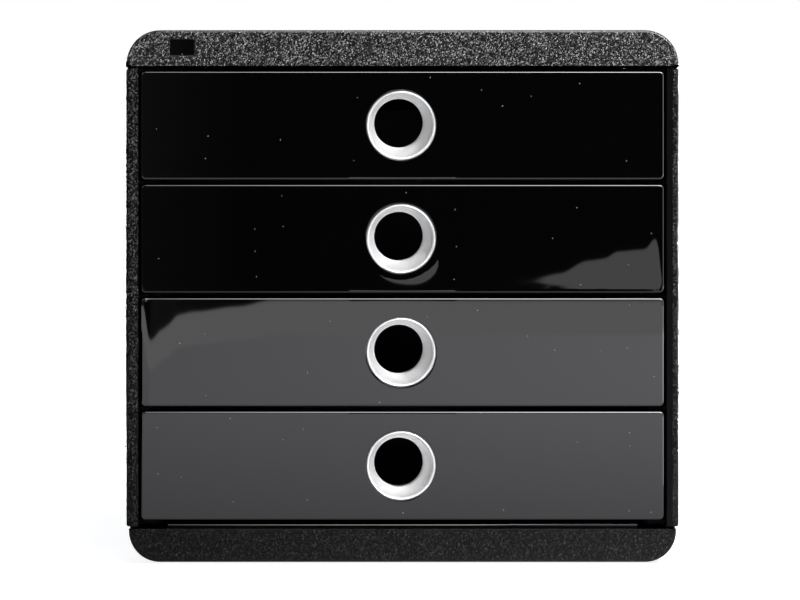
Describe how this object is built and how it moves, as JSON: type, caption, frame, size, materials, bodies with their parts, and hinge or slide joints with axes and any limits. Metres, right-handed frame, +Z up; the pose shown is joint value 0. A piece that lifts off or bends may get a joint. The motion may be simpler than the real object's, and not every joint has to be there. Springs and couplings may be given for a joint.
{
  "type": "desktop drawer box",
  "caption": "Desktop filing box with stacked sliding drawers, glossy fronts and recessed round finger rings, in a grained housing with a rounded top cover and base.",
  "frame": {"origin": "on the surface it stands on, under the middle of the box", "axes": "+Z up, +Y from the drawer fronts to the back, +X to the right seen from the front; drawers open towards -Y"},
  "size_m": [0.278, 0.347, 0.269],
  "materials": {
    "housing": "fine moulded grain, black",
    "front_gloss": "polished, black",
    "tray": "smooth satin, black",
    "ring_satin": "satin silver coating",
    "foot_rubber": "matte"
  },
  "bodies": {
    "housing": {"top_cover": "housing", "base_cover": "housing", "side_panel_left": "housing", "side_panel_right": "housing", "back_panel": "housing", "foot_front_left": "foot_rubber", "foot_front_right": "foot_rubber", "foot_back_left": "foot_rubber", "foot_back_right": "foot_rubber"},
    "drawer_1": {"drawer_tray_1": "tray", "drawer_front_1": "front_gloss", "finger_ring_1": "ring_satin"},
    "drawer_2": {"drawer_tray_2": "tray", "drawer_front_2": "front_gloss", "finger_ring_2": "ring_satin"},
    "drawer_3": {"drawer_tray_3": "tray", "drawer_front_3": "front_gloss", "finger_ring_3": "ring_satin"},
    "drawer_4": {"drawer_tray_4": "tray", "drawer_front_4": "front_gloss", "finger_ring_4": "ring_satin"}
  },
  "joints": [
    {"name": "drawer_1_slide", "type": "slide", "parent": "housing", "child": "drawer_1", "axis": [0, -1, 0], "range_m": [0, 0.25]},
    {"name": "drawer_2_slide", "type": "slide", "parent": "housing", "child": "drawer_2", "axis": [0, -1, 0], "range_m": [0, 0.25]},
    {"name": "drawer_3_slide", "type": "slide", "parent": "housing", "child": "drawer_3", "axis": [0, -1, 0], "range_m": [0, 0.25]},
    {"name": "drawer_4_slide", "type": "slide", "parent": "housing", "child": "drawer_4", "axis": [0, -1, 0], "range_m": [0, 0.25]}
  ]
}
